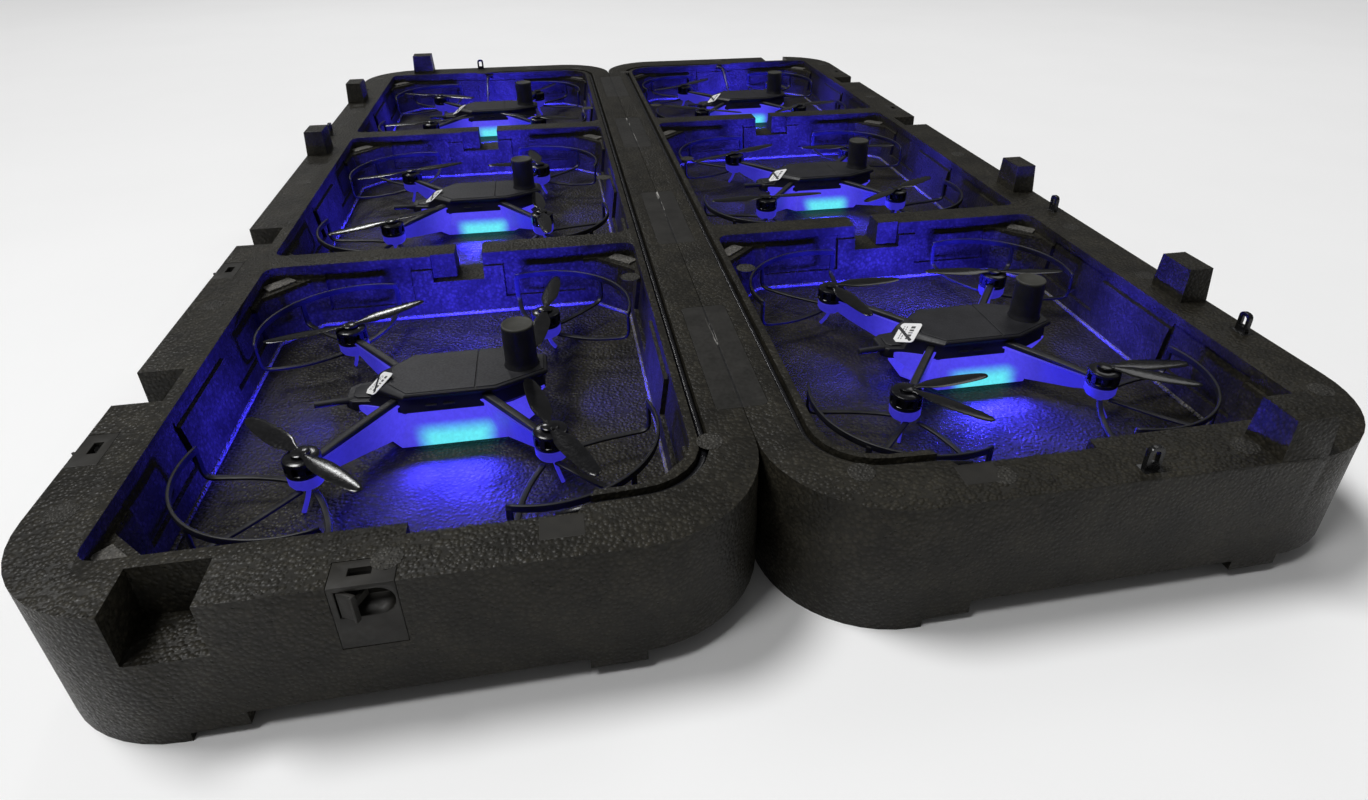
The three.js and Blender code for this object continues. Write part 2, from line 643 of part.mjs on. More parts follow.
function cableGeometry(points) {
  const section = new THREE.Shape();
  section.absarc(0, 0, CABLE_RADIUS, 0, 2 * Math.PI, false);
  return new THREE.ExtrudeGeometry(section, {
    steps: points.length - 1, curveSegments: 4, bevelEnabled: false, extrudePath: new Route(points) });
}

const SIDES = [['left', 1, 'front', 'back'], ['right', -1, 'back', 'front']];

for (const [side, flip, endLatch, endHook] of SIDES) {
  const tray = new THREE.Group();
  tray.rotation.z = flip < 0 ? Math.PI : 0;
  addMesh(tray, `${side}_tray`, trayGeometry(flip), foam());
  addLeaves(tray, side);
  addLatches(tray, side, endLatch);
  addHooks(tray, side, endHook);
  carryingCase.add(tray);

  const route = cableRoute().map((p) => new THREE.Vector3(flip * p.x, p.y, p.z));
  addMesh(carryingCase, `${side}_cable`, cableGeometry(route), cableBlack());
  for (let index = 0; index < BAYS_PER_TRAY; index += 1) {
    addDrone((flip < 0 ? BAYS_PER_TRAY : 0) + index + 1, flip * TRAY_MIDDLE, bayMiddle(index));
  }
}

export default carryingCase;
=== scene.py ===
# Looks of a folding drone carrying case in moulded bead foam, open, with six small drones in its bays.
# Units are metres in the CAD frame: X across, Y along the case, Z up. MM turns millimetres into metres.
import math

import bmesh
import bpy
from mathutils import Matrix, Vector


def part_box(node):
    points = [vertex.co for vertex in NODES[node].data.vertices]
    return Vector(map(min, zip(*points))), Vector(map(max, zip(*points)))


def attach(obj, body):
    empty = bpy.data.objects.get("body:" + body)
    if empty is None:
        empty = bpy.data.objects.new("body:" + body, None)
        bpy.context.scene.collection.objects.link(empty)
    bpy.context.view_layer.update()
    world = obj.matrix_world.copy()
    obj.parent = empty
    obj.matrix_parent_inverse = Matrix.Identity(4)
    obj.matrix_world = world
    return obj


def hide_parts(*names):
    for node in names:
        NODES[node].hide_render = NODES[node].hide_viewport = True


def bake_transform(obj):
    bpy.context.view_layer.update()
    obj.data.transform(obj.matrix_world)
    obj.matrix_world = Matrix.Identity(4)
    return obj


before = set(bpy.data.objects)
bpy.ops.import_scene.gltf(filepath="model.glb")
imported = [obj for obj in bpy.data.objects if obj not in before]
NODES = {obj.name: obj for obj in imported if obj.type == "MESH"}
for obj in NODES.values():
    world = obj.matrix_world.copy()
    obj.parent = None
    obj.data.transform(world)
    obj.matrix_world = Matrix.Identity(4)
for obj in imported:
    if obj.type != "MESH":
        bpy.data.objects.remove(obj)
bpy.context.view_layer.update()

MM = 0.001
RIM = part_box("hinge_leaf_left_1")[1].z  # height of the trays' rims
FRONT, BACK = (corner.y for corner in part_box("left_tray"))
SIDES = {"left": -1, "right": 1}

# ---- Node materials --------------------------------------------------------------------------------


class Nodes:
    """Builds one procedural material. Coordinates are the piece's own, in metres."""

    def __init__(self, name):
        self.material = bpy.data.materials.new(name)
        self.material.use_nodes = True
        self.tree = self.material.node_tree
        self.shader = self.tree.nodes["Principled BSDF"]
        self.coords = self.tree.nodes.new("ShaderNodeTexCoord").outputs["Object"]

    def link(self, source, socket):
        self.tree.links.new(source, socket)

    def set(self, **values):
        for name, value in values.items():
            self.shader.inputs[name.replace("_", " ")].default_value = value

    def noise(self, scale, detail=3.0, roughness=0.55, stretch=None):
        node = self.tree.nodes.new("ShaderNodeTexNoise")
        node.inputs["Scale"].default_value = scale
        node.inputs["Detail"].default_value = detail
        node.inputs["Roughness"].default_value = roughness
        self.link(self.stretched(stretch), node.inputs["Vector"])
        return node.outputs["Fac"]

    def cells(self, scale, output="Distance"):
        node = self.tree.nodes.new("ShaderNodeTexVoronoi")
        node.inputs["Scale"].default_value = scale
        self.link(self.coords, node.inputs["Vector"])
        return node.outputs[output]

    def stretched(self, stretch):
        if stretch is None:
            return self.coords
        node = self.tree.nodes.new("ShaderNodeMapping")
        node.inputs["Scale"].default_value = stretch
        self.link(self.coords, node.inputs["Vector"])
        return node.outputs["Vector"]

    def axis(self, name):
        node = self.tree.nodes.new("ShaderNodeSeparateXYZ")
        self.link(self.coords, node.inputs["Vector"])
        return node.outputs[name]

    def upward(self):
        """The surface normal's height, 1 where it faces up."""
        geometry = self.tree.nodes.new("ShaderNodeNewGeometry")
        node = self.tree.nodes.new("ShaderNodeSeparateXYZ")
        self.link(geometry.outputs["Normal"], node.inputs["Vector"])
        return node.outputs["Z"]

    def math(self, operation, first, second=0.0):
        node = self.tree.nodes.new("ShaderNodeMath")
        node.operation = operation
        for socket, value in zip(node.inputs, (first, second)):
            if isinstance(value, (int, float)):
                socket.default_value = value
            else:
                self.link(value, socket)
        return node.outputs["Value"]

    def ramp(self, value, low, high, to_low=0.0, to_high=1.0):
        node = self.tree.nodes.new("ShaderNodeMapRange")
        node.interpolation_type = "SMOOTHSTEP"
        limits = {"From Min": low, "From Max": high, "To Min": to_low, "To Max": to_high}
        for name, number in limits.items():
            node.inputs[name].default_value = number
        self.link(value, node.inputs["Value"])
        return node.outputs["Result"]

    def colours(self, value, first, second):
        node = self.tree.nodes.new("ShaderNodeMix")
        node.data_type = "RGBA"
        for socket, colour in ((node.inputs[6], first), (node.inputs[7], second)):
            if isinstance(colour, tuple):
                socket.default_value = (*colour, 1.0)
            else:
                self.link(colour, socket)
        self.link(value, node.inputs[0])
        return node.outputs[2]

    def colour(self, source):
        self.link(source, self.shader.inputs["Base Color"])

    def roughness(self, source):
        self.link(source, self.shader.inputs["Roughness"])

    def bump(self, *layers):
        """Each layer is (height, strength, depth in metres), the coarsest first."""
        last = None
        for height, strength, depth in layers:
            node = self.tree.nodes.new("ShaderNodeBump")
            node.inputs["Strength"].default_value = strength
            node.inputs["Distance"].default_value = depth
            self.link(height, node.inputs["Height"])
            if last:
                self.link(last, node.inputs["Normal"])
            last = node.outputs["Normal"]
        self.link(last, self.shader.inputs["Normal"])
        return self


def foam_material(name, dark, light, bead, grain=1.0):
    """Moulded bead foam: pillowed beads, small pits where beads meet, and a fine skin. Its colour holds
    painted shade: darker towards each bead's edge and in the pits.
    """
    n = Nodes(name)
    domes = n.ramp(n.cells(1 / bead), 0.1, 0.75, 1.0, 0.0)
    shade = n.cells(1 / bead, "Color")
    patches = n.noise(28, 4.0)
    pits = n.ramp(n.cells(170), 0.07, 0.16)
    tone = n.math("MULTIPLY", n.ramp(patches, 0.3, 0.7, 0.35, 1.0), n.ramp(shade, 0.0, 1.0, 0.5, 1.0))
    # Painted shade: each bead darker towards its edge, where it meets the next.
    tone = n.math("MULTIPLY", tone, n.ramp(domes, 0.0, 0.8, 0.55, 1.0))
    # Painted shade: the pits between beads darkened.
    tone = n.math("MULTIPLY", tone, n.ramp(pits, 0.0, 1.0, 0.25, 1.0))
    n.colour(n.colours(tone, dark, light))
    n.roughness(n.ramp(n.noise(700, 2.0), 0.3, 0.7, 0.36, 0.6))
    n.set(Specular_IOR_Level=0.2)
    facing = n.ramp(n.math("ABSOLUTE", n.upward()), 0.2, 0.9, 0.55, 1.0)
    return n.bump(
        (n.noise(35, 3.0), 0.10, 0.8 * MM), (n.math("MULTIPLY", domes, facing), 0.8 * grain, 0.7 * MM),
        (pits, 0.6, 0.5 * MM), (n.noise(1500, 2.0), 0.3, 0.15 * MM)).material


def plastic_material(name, dark, light, rough, grain_depth=0.05):
    """Moulded plastic with a fine spark-eroded grain, faint handling marks and slightly uneven gloss."""
    n = Nodes(name)
    n.colour(n.colours(n.ramp(n.noise(60, 5.0), 0.3, 0.75), dark, light))
    n.roughness(n.ramp(n.noise(240, 4.0), 0.25, 0.75, rough - 0.07, rough + 0.09))
    n.set(Specular_IOR_Level=0.3)
    return n.bump(
        (n.noise(2600, 2.0), 0.35, grain_depth * MM),
        (n.noise(90, 2.0, stretch=(1.0, 9.0, 1.0)), 0.08, 0.1 * MM)).material


def hinge_plate_material():
    """Smooth plate whose fold line is darkened with painted shade, with pale wear scratches along it."""
    n = Nodes("hinge_plate_plastic")
    across = n.math("ABSOLUTE", n.axis("X"))
    fold = n.ramp(across, 0.3 * MM, 1.3 * MM)
    scratch = n.math("MULTIPLY", n.ramp(n.noise(260, 4.0, 0.7, (1.0, 0.05, 1.0)), 0.56, 0.64),
                     n.ramp(across, 0.4 * MM, 2.2 * MM, 1.0, 0.0))
    base = n.colours(n.ramp(n.noise(45, 5.0), 0.3, 0.7), (0.011, 0.0105, 0.009), (0.020, 0.019, 0.017))
    # Painted shade: the fold's groove darkened along its middle.
    base = n.colours(fold, (0.006, 0.006, 0.006), base)
    n.colour(n.colours(scratch, base, (0.35, 0.34, 0.32)))
    n.roughness(n.ramp(n.noise(300, 4.0), 0.3, 0.7, 0.38, 0.55))
    n.set(Specular_IOR_Level=0.3)
    return n.bump((n.noise(1800, 2.0), 0.3, 0.05 * MM), (scratch, 0.2, 0.05 * MM)).material


def gloss_material(name, tone, rough):
    """Glossy black moulding with faint flow ripples and dust-dulled spots."""
    n = Nodes(name)
    brighter = tuple(v * 1.9 for v in tone)
    n.colour(n.colours(n.ramp(n.noise(90, 4.0), 0.35, 0.75), tone, brighter))
    n.roughness(n.ramp(n.noise(420, 4.0), 0.35, 0.75, rough, rough + 0.14))
    n.set(Specular_IOR_Level=0.35)
    return n.bump((n.noise(140, 2.0), 0.12, 0.12 * MM), (n.noise(2400, 2.0), 0.1, 0.03 * MM)).material


def shell_material():
    """Matt dark shell with a fine sprayed texture."""
    n = Nodes("drone_shell_plastic")
    n.colour(n.colours(n.ramp(n.noise(70, 5.0), 0.3, 0.7), (0.0075, 0.0075, 0.0095), (0.014, 0.014, 0.017)))
    n.roughness(n.ramp(n.noise(500, 3.0), 0.3, 0.7, 0.42, 0.56))
    n.set(Specular_IOR_Level=0.35)
    return n.bump((n.noise(3200, 2.0), 0.4, 0.05 * MM), (n.noise(120, 2.0), 0.08, 0.1 * MM)).material


def painted_glow_material():
    """Milky lower shell made to shine: cyan at the lamp's lens in the middle, and blue further out, dimmer
    with distance, which is painted light standing for the lamp's light falling on the keel, webs, fins and
    motor cups.
    """
    n = Nodes("drone_lens_and_painted_glow")
    along = n.math("ABSOLUTE", n.math("SUBTRACT", n.axis("X"), 12 * MM))
    out = n.math("ABSOLUTE", n.axis("Y"))
    past_keel = n.math("MAXIMUM", n.math("SUBTRACT", out, 28 * MM), 0.0)
    far = n.math("ADD", n.math("MULTIPLY", along, 0.55), past_keel)
    lamp = n.math("MULTIPLY", n.ramp(n.axis("Z"), 52 * MM, 64 * MM, 1.0, 0.0),
                  n.ramp(n.math("ADD", along, n.math("MULTIPLY", out, 0.35)), 32 * MM, 50 * MM, 1.0, 0.0))
    # Painted light: blue that dims with distance from the lamp, for its light on the shell, webs, fins and
    # cups.
    blue = n.colours(n.ramp(far, 4 * MM, 85 * MM), (0.085, 0.065, 0.95), (0.030, 0.024, 0.42))
    speckle = n.ramp(n.noise(300, 3.0), 0.2, 0.8, 0.82, 1.0)
    # The cyan patch is the lamp's lens; the blue around it is painted light.
    glow = n.colours(lamp, blue, (0.14, 0.90, 1.0))
    dimmed = n.colours(speckle, (0.0, 0.0, 0.0), glow)
    n.link(dimmed, n.shader.inputs["Emission Color"])
    n.set(Emission_Strength=1.0, Specular_IOR_Level=0.25)
    n.colour(n.colours(n.noise(80, 3.0), (0.008, 0.008, 0.016), (0.014, 0.014, 0.026)))
    n.roughness(n.ramp(n.noise(400, 3.0), 0.3, 0.7, 0.35, 0.5))
    return n.bump((n.noise(1400, 2.0), 0.2, 0.05 * MM)).material


def label_material():
    """White sticker paper."""
    n = Nodes("label_paper")
    n.colour(n.colours(n.noise(300, 4.0), (0.62, 0.62, 0.62), (0.78, 0.78, 0.77)))
    n.roughness(n.ramp(n.noise(500, 3.0), 0.3, 0.7, 0.42, 0.6))
    return n.bump((n.noise(2000, 2.0), 0.2, 0.03 * MM)).material


def ink_material():
    """Black printing with slightly uneven cover."""
    n = Nodes("label_ink")
    n.colour(n.colours(n.noise(900, 3.0), (0.02, 0.02, 0.02), (0.07, 0.07, 0.07)))
    n.roughness(n.ramp(n.noise(900, 3.0), 0.3, 0.7, 0.5, 0.7))
    return n.bump((n.noise(2500, 2.0), 0.2, 0.02 * MM)).material


def floor_material():
    """Pale matt studio floor."""
    n = Nodes("floor_paint")
    n.colour(n.colours(n.noise(3, 3.0), (0.86, 0.86, 0.86), (0.90, 0.90, 0.90)))
    n.roughness(n.ramp(n.noise(20, 3.0), 0.3, 0.7, 0.85, 0.95))
    return n.bump((n.noise(60, 3.0), 0.05, 0.2 * MM)).material


FOAM = foam_material("bead_foam", (0.0035, 0.0032, 0.0023), (0.030, 0.0268, 0.0185), 3.2 * MM)
MARK_FOAM = foam_material("mark_foam", (0.008, 0.0076, 0.0066), (0.060, 0.057, 0.049), 2.2 * MM, 1.3)
# Coarse foam coloured far lighter than the trays: a painted highlight, standing for the bright sheen on the
# floor fillets and post tops.
COARSE_FOAM_PAINTED_HIGHLIGHT = foam_material("coarse_foam_painted_highlight", (0.03, 0.029, 0.026), (0.20, 0.19, 0.17), 2.6 * MM, 1.6)
PLATE = plastic_material("latch_plastic", (0.009, 0.0082, 0.0065), (0.016, 0.0146, 0.0115), 0.55)
HINGE = hinge_plate_material()
HOOK = gloss_material("hook_plastic", (0.004, 0.004, 0.004), 0.2)
CABLE = gloss_material("cable_sheath", (0.004, 0.004, 0.005), 0.24)
PROPELLER = gloss_material("propeller_plastic", (0.0035, 0.0035, 0.004), 0.12)
MOTOR = gloss_material("motor_enamel", (0.004, 0.004, 0.005), 0.14)
SHELL = shell_material()
GUARD = plastic_material("guard_plastic", (0.005, 0.005, 0.006), (0.012, 0.012, 0.013), 0.42)
# The mast cap's lighter grey is a painted highlight on its top.
CAP_PAINTED_HIGHLIGHT = plastic_material("mast_cap_plastic_painted_highlight", (0.030, 0.030, 0.025), (0.048, 0.047, 0.040), 0.6)
PAINTED_GLOW = painted_glow_material()
LABEL = label_material()
INK = ink_material()

# ---- Mesh tools ------------------------------------------------------------------------------------


def mm(x, y, z):
    return Vector((x, y, z)) * MM


def mesh_from(name, bm, material, smooth=True):
    mesh = bpy.data.meshes.new(name)
    bmesh.ops.recalc_face_normals(bm, faces=bm.faces[:])
    bm.to_mesh(mesh)
    bm.free()
    mesh.materials.append(material)
    mesh.polygons.foreach_set("use_smooth", [smooth] * len(mesh.polygons))
    return mesh


def place_mesh(name, mesh, body=None, at=(0, 0, 0)):
    piece = bpy.data.objects.new(name, mesh)
    bpy.context.scene.collection.objects.link(piece)
    piece.location = at
    if body:
        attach(piece, body)
    return piece


def make_piece(name, bm, material, body=None, smooth=True):
    return place_mesh(name, mesh_from(name, bm, material, smooth), body)


def bevel(piece, width, segments=3, angle=32.0):
    modifier = piece.modifiers.new("edges", "BEVEL")
    modifier.width = width
    modifier.segments = segments
    modifier.limit_method = "ANGLE"
    modifier.angle_limit = math.radians(angle)
    modifier.use_clamp_overlap = True
    modifier.harden_normals = True


def loft(bm, rings):
    """Joins closed rings of equal length into a skin, and closes its two ends."""
    loops = [[bm.verts.new(point) for point in ring] for ring in rings]
    for lower, upper in zip(loops, loops[1:]):
        for i in range(len(lower)):
            j = (i + 1) % len(lower)
            bm.faces.new((lower[i], lower[j], upper[j], upper[i]))
    bm.faces.new(list(reversed(loops[0])))
    bm.faces.new(loops[-1])


def around(sides):
    return [2 * math.pi * i / sides for i in range(sides)]


def lathe(bm, profile, sides, x=0.0, y=0.0):
    """Turns a profile of (radius, height) points about an upright axis. All are in millimetres."""
    loft(bm, [[mm(x + r * math.cos(a), y + r * math.sin(a), z) for a in around(sides)] for r, z in profile])


def block(bm, centre, size, turn=0.0):
    matrix = Matrix.Translation(centre) @ Matrix.Rotation(turn, 4, "Z") @ Matrix.Diagonal((*size, 1.0))
    bmesh.ops.create_cube(bm, size=1.0, matrix=matrix)


def section(width, height, corner, steps=3):
    """A rounded rectangle as (across, up) points."""
    points = []
    for quarter, (sx, sy) in enumerate(((1, 1), (-1, 1), (-1, -1), (1, -1))):
        for i in range(steps + 1):
            a = math.pi / 2 * (quarter + i / steps)
            x = sx * (width / 2 - corner) + corner * math.cos(a)
            y = sy * (height / 2 - corner) + corner * math.sin(a)
            points.append((x, y))
    return points


def sweep(bm, path, outline, up=Vector((0, 0, 1))):
    """Carries an outline along a path, keeping its height towards up."""
    rings = []
    for i, point in enumerate(path):
        ahead = (path[min(i + 1, len(path) - 1)] - path[max(i - 1, 0)]).normalized()
        side = ahead.cross(up)
        side = side.normalized() if side.length > 1e-3 else Vector((0, 1, 0))
        over = side.cross(ahead).normalized()
        rings.append([point + side * x + over * y for x, y in outline])
    loft(bm, rings)


def smooth_path(points, steps):
    """A Catmull-Rom curve through the points."""
    path = []
    last = len(points) - 1
    for i in range(last):
        a, b, c, d = points[max(i - 1, 0)], points[i], points[i + 1], points[min(i + 2, last)]
        for k in range(steps):
            t = k / steps
            path.append(0.5 * (2 * b + (c - a) * t + (2 * a - 5 * b + 4 * c - d) * t * t
                               + (3 * b - 3 * c + d - a) * t ** 3))
    path.append(points[last])
    return path


# ---- Carried-over CAD nodes ------------------------------------------------------------------------


def soften(node, width, material, segments=3):
    """Gives a CAD node its material and rounds its moulded edges."""
    piece = NODES[node]
    piece.data.materials.clear()
    piece.data.materials.append(material)
    weld = piece.modifiers.new("weld", "WELD")
    weld.merge_threshold = 0.02 * MM
    flat = piece.modifiers.new("flat", "DECIMATE")
    flat.decimate_type = "DISSOLVE"
    flat.angle_limit = math.radians(1.0)
    bevel(piece, width, segments)
    piece.data.polygons.foreach_set("use_smooth", [True] * len(piece.data.polygons))


for side in SIDES:
    soften(f"{side}_tray", 2.2 * MM, FOAM)
for name in NODES:
    if name.startswith("latch_housing"):
        soften(name, 0.5 * MM, PLATE, 2)
    elif name.startswith("latch_flap"):
        soften(name, 0.4 * MM, PLATE, 2)
    elif name.startswith("latch_hook"):
        soften(name, 0.8 * MM, HOOK, 3)


# ---- Fittings of the trays -------------------------------------------------------------------------


def hinge_plate(number):
    """One flexible plate for a pair of leaves, with a shallow groove between them at the fold."""
    low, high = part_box(f"hinge_leaf_left_{number}")
    reach, corner = -low.x, 5 * MM
    top, thick, groove = high.z, high.z - low.z, 0.35 * MM
    stations = [-reach + reach * 2 * i / 40 for i in range(41)]
    bm = bmesh.new()
    rings = []
    for y, inset in plate_rows(low.y, high.y, corner):
        upper = [Vector((x * (1 - inset / reach), y, top - groove * math.exp(-(x / (0.5 * MM)) ** 2)))
                 for x in stations]
        lower = [Vector((point.x, y, top - thick)) for point in reversed(upper)]
        rings.append(upper + lower)
    loft(bm, rings)
    piece = make_piece(f"hinge_plate_{number}", bm, HINGE)
    bevel(piece, 0.3 * MM, 2, 60)
    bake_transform(piece)
    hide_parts(f"hinge_leaf_left_{number}", f"hinge_leaf_right_{number}")


def plate_rows(low, high, corner):
    """Rows along the plate as (y, how far the ends draw in), rounding its corners."""
    angles = [math.pi / 2 * i / 5 for i in range(6)]
    for a in angles:
        yield low + corner * (1 - math.cos(a)), corner * (1 - math.sin(a))
    for a in reversed(angles):
        yield high - corner * (1 - math.cos(a)), corner * (1 - math.sin(a))


for number in range(1, 5):
    hinge_plate(number)

# The left tray's charging cable, in millimetres. It starts under the cover plate, keeps to its line along
# the hinge and leaves the groove at its drop line. Both trays' cables are mirror images.
CABLE_RADIUS = 2.7
CABLE_HEIGHT = 100.05
CABLE_START = -140
CABLE_LINE, CABLE_BEND = -36, 49
CABLE_DROP, CABLE_DROP_BEND = -235, 20
CABLE_END = 50  # the groove's distance from the end walls
CABLE_HANG = [  # past the groove: distance from the back wall, height
    (80, 99), (94, 93), (110, 83), (128, 73), (148, 66), (170, 63), (190, 66), (206.9, 73), (215.9, 76),
    (224, 76)]


def cable_path(side):
    """Out from under the cover plate, round the bays in the groove, and into the far drone."""
    front, back = FRONT / MM, BACK / MM
    inner = CABLE_LINE - CABLE_BEND
    turns = [(inner, front + CABLE_END + CABLE_BEND, CABLE_BEND, -90),
             (inner, back - CABLE_END - CABLE_BEND, CABLE_BEND, 0),
             (CABLE_DROP + CABLE_DROP_BEND, back - CABLE_END - CABLE_DROP_BEND, CABLE_DROP_BEND, 90)]
    groove = [(CABLE_START, front + CABLE_END - 6), (CABLE_START + 22, front + CABLE_END - 1.5)]
    for x, y, radius, first in turns:
        for i in range(13):
            a = math.radians(first + 90 * i / 12)
            groove.append((x + radius * math.cos(a), y + radius * math.sin(a)))
    held = [mm(-side * x, y, CABLE_HEIGHT) for x, y in groove]
    hang = [mm(-side * CABLE_DROP, back - distance, height) for distance, height in CABLE_HANG]
    return held[:-1] + smooth_path(held[-1:] + hang, 4)


def cable(name, side):
    """The cable, with a sleeve over its end at the drone."""
    bm = bmesh.new()
    path = cable_path(side)
    sleeve = path[-14:-5]
    for route, radius in ((path, CABLE_RADIUS * MM), (sleeve, CABLE_RADIUS * 1.35 * MM)):
        sweep(bm, route, [(radius * math.cos(a), radius * math.sin(a)) for a in around(16)])
    piece = make_piece(f"{name}_charging_lead", bm, CABLE, f"{name}_half")
    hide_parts(f"{name}_cable")


def cover_plate(name, side):
    """The small plate let into the rim over the cable's start."""
    bm = bmesh.new()
    block(bm, mm(side * 136, FRONT / MM + 27, RIM / MM - 1.9), mm(28, 20, 4.2))
    block(bm, mm(side * 136, FRONT / MM + 38, RIM / MM - 2.4), mm(20, 3, 3.0))
    piece = make_piece(f"{name}_cover_plate", bm, PLATE, f"{name}_half", smooth=False)
    bevel(piece, 0.7 * MM, 3)


def mould_mark(bm, x, y, radius=9.5):
    """A round moulding mark on the rim: a low ring with a pitted disc inside."""
    profile = [(0.01, -0.3), (radius, -0.3), (radius, 0.12), (radius - 0.7, 0.2), (radius - 1.5, 0.02),
               (radius - 2.2, 0.16), (3.0, 0.22), (0.01, 0.12)]
    lathe(bm, [(r, RIM / MM + h) for r, h in profile], 28, x, y)


# Marks on the left tray as (x, y) in millimetres; the right tray's are the same after half a turn.
MARKS = [(-440, -616), (-32, -618), (-236, -694), (-440, -330), (-438, 20), (-440, 300), (-440, 430),
         (-440, 640), (-60, 670), (-330, 692), (-60, -30), (-58, 340), (-58, -340), (-150, 690)]


def mould_marks(name, side):
    bm = bmesh.new()
    for x, y in MARKS:
        mould_mark(bm, -side * x, -side * y)
    make_piece(f"{name}_mould_marks", bm, MARK_FOAM, f"{name}_half")


BAYS = 3
BAY_LEFT, BAY_RIGHT, BAY_MIDDLE = -414, -46, -230  # a left bay's walls and middle, in millimetres
HALF_PARTITION = 15
END_RIM = 48
END_STEP = 10  # how much thinner or thicker the end rim is by the cable's cover and groove
POST_LEG = 38  # how far a corner post reaches along each wall
POST_PAD = {"inset": 13, "size": (14, 29, 2.6), "height": 92.8}
FLOOR_BEAD_DRAW = 9.2  # how far the bay's walls lean in by the height of the floor beads
FLOOR_BEAD_HEIGHT = 43


def bay_corners(bay):
    """A left bay's outline at the rim as (x, y, corner leg), before its corners are cut off."""
    pitch = (BACK - FRONT) / MM / BAYS
    near = FRONT / MM + bay * pitch + HALF_PARTITION
    far = near + pitch - 2 * HALF_PARTITION
    near_edge = [(BAY_LEFT, near, POST_LEG), (BAY_RIGHT, near, POST_LEG)]
    far_edge = [(BAY_RIGHT, far, POST_LEG), (BAY_LEFT, far, POST_LEG)]
    if bay == 0:
        near = FRONT / MM + END_RIM
        near_edge = [
            (BAY_LEFT, near, POST_LEG), (-228, near, 0), (-228, near - END_STEP, 0),
            (-126, near - END_STEP, 0), (-114, near + END_STEP, 0), (BAY_RIGHT, near + END_STEP, POST_LEG)]
    if bay == BAYS - 1:
        far = BACK / MM - END_RIM
        far_edge = [
            (BAY_RIGHT, far - END_STEP, POST_LEG), (-256, far - END_STEP, 0), (-256, far, 0),
            (BAY_LEFT, far, POST_LEG)]
    return near_edge + far_edge


def post_tops(name, side):
    """Rough pads on top of the corner posts of the three bays."""
    bm = bmesh.new()
    for bay in range(BAYS):
        corners = bay_corners(bay)
        middle = (corners[0][1] + corners[-1][1]) / 2
        for x, y, leg in corners:
            if leg:
                sx, sy = (1 if x < BAY_MIDDLE else -1), (1 if y < middle else -1)
                inset = POST_PAD["inset"]
                place = mm(-side * (x + sx * inset), y + sy * inset, POST_PAD["height"])
                block(bm, place, mm(*POST_PAD["size"]), math.radians(45) * sx * sy * -side)
    piece = make_piece(f"{name}_post_tops", bm, COARSE_FOAM_PAINTED_HIGHLIGHT, f"{name}_half", smooth=False)
    bevel(piece, 0.6 * MM, 2)


def floor_beads(name, side):
    """The rough fillet where each bay's walls meet its floor."""
    bm = bmesh.new()
    lean = FLOOR_BEAD_DRAW
    for bay in range(BAYS):
        corners = bay_corners(bay)
        xs, ys = [c[0] for c in corners], [c[1] for c in corners]
        middle = ((min(xs) + max(xs)) / 2, (min(ys) + max(ys)) / 2)
        draw = (1 - lean / (max(xs) - middle[0]), 1 - lean / (max(ys) - middle[1]))
        path = []
        for i, (x, y, leg) in enumerate(corners):
            here = Vector((x, y))
            if not leg:
                path.append(here)
                continue
            for other in (corners[i - 1], corners[(i + 1) % len(corners)]):
                path.append(here + (Vector(other[:2]) - here).normalized() * leg)
        ring = []
        for p in path:
            x = middle[0] + (p.x - middle[0]) * draw[0]
            y = middle[1] + (p.y - middle[1]) * draw[1]
            ring.append(mm(-side * x, y, FLOOR_BEAD_HEIGHT))
        sweep(bm, ring + ring[:1], section(5.5 * MM, 4 * MM, 1.9 * MM))
    make_piece(f"{name}_floor_beads", bm, COARSE_FOAM_PAINTED_HIGHLIGHT, f"{name}_half")


for name, side in SIDES.items():
    cable(name, side)
    cover_plate(name, side)
    mould_marks(name, side)
    post_tops(name, side)
    floor_beads(name, side)

# ---- Drones ----------------------------------------------------------------------------------------
# A drone's parts are made once about its own middle, nose towards -X, and shared by all six.
MOTOR_X, MOTOR_Y = 88, 97
MOTOR_SIGNS = [(-1, -1), (1, -1), (-1, 1), (1, 1)]
MAST_X = 67


def both_sides(half):
    """A closed outline from its -Y half, listed from nose to tail."""
    return half + [(x, -y) for x, y in reversed(half)]


